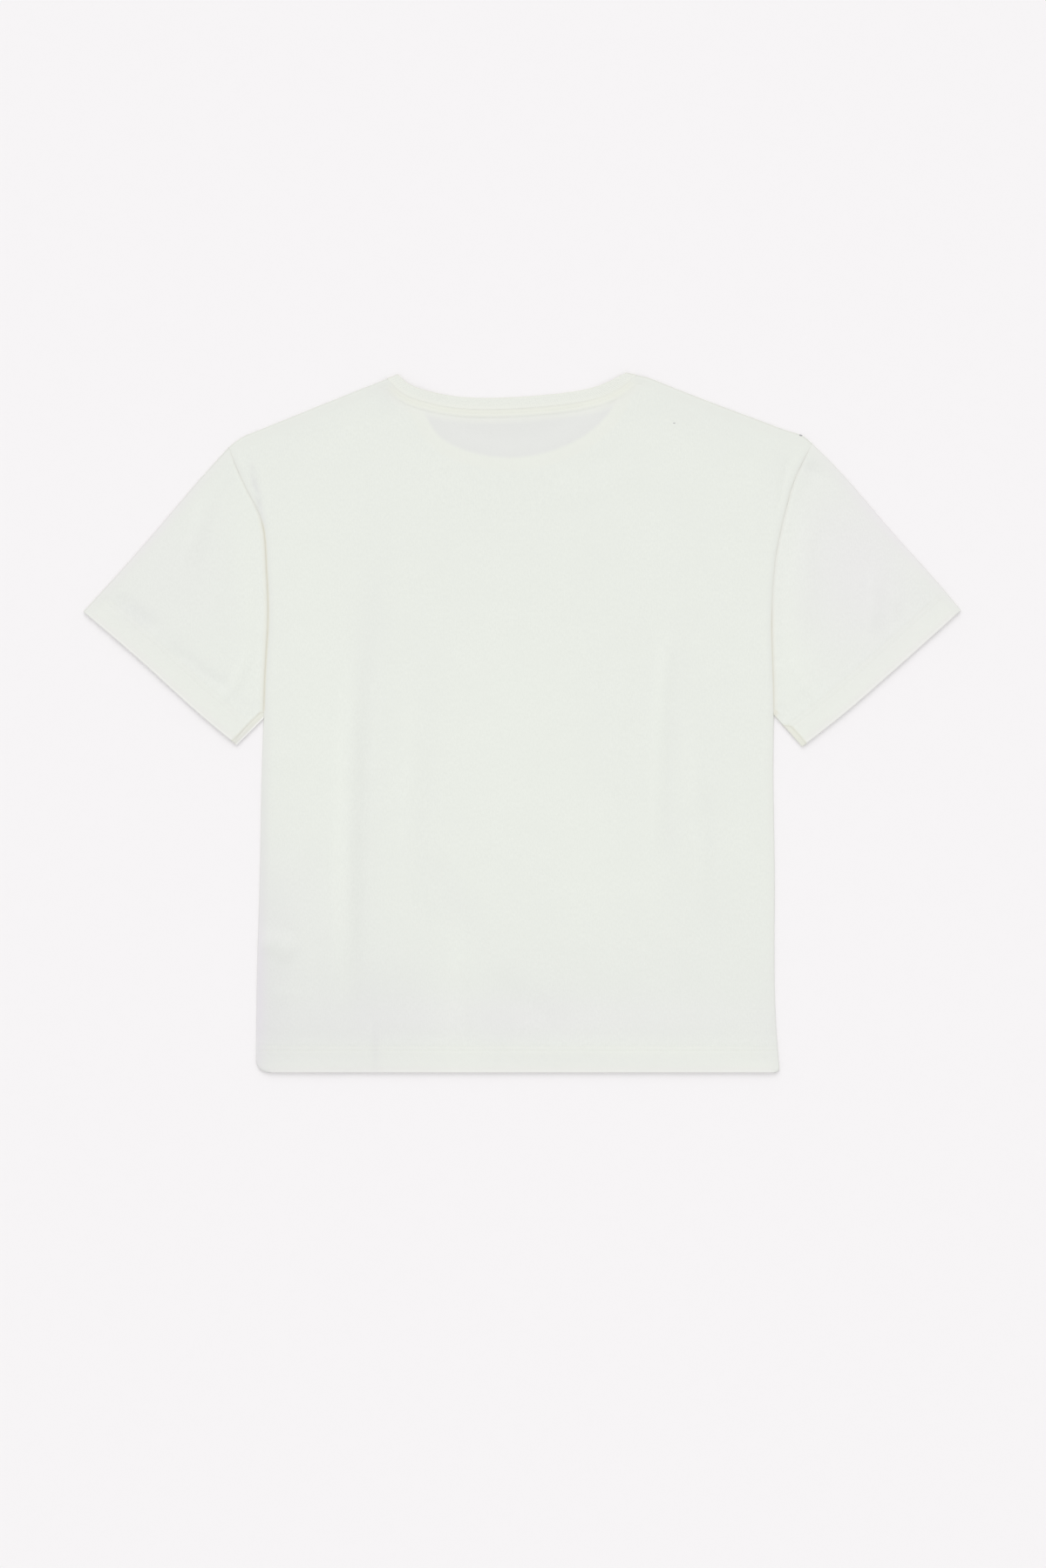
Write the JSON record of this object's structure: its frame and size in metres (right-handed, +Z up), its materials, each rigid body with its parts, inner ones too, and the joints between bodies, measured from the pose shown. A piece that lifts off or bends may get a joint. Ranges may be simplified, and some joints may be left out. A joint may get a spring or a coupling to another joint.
{
  "type": "t-shirt",
  "caption": "Short-sleeved crew-neck T-shirt of thin pale cotton jersey, laid flat with its back upwards.",
  "frame": {"origin": "on the floor, under the middle of the whole outline", "axes": "+Z up out of the upward-facing back, +Y towards the neck, +X towards the wearer's right sleeve"},
  "size_m": [0.8052, 0.6423, 0.0047],
  "materials": {
    "jersey": "matt single jersey of fine cotton, pale cream with a trace of green",
    "rib": "matt fine one-by-one rib, a trace yellower than the jersey"
  },
  "bodies": {
    "root": {"front_panel": "jersey", "back_panel": "jersey", "sleeve_left": "jersey", "sleeve_right": "jersey", "neckband": "rib"}
  },
  "joints": []
}
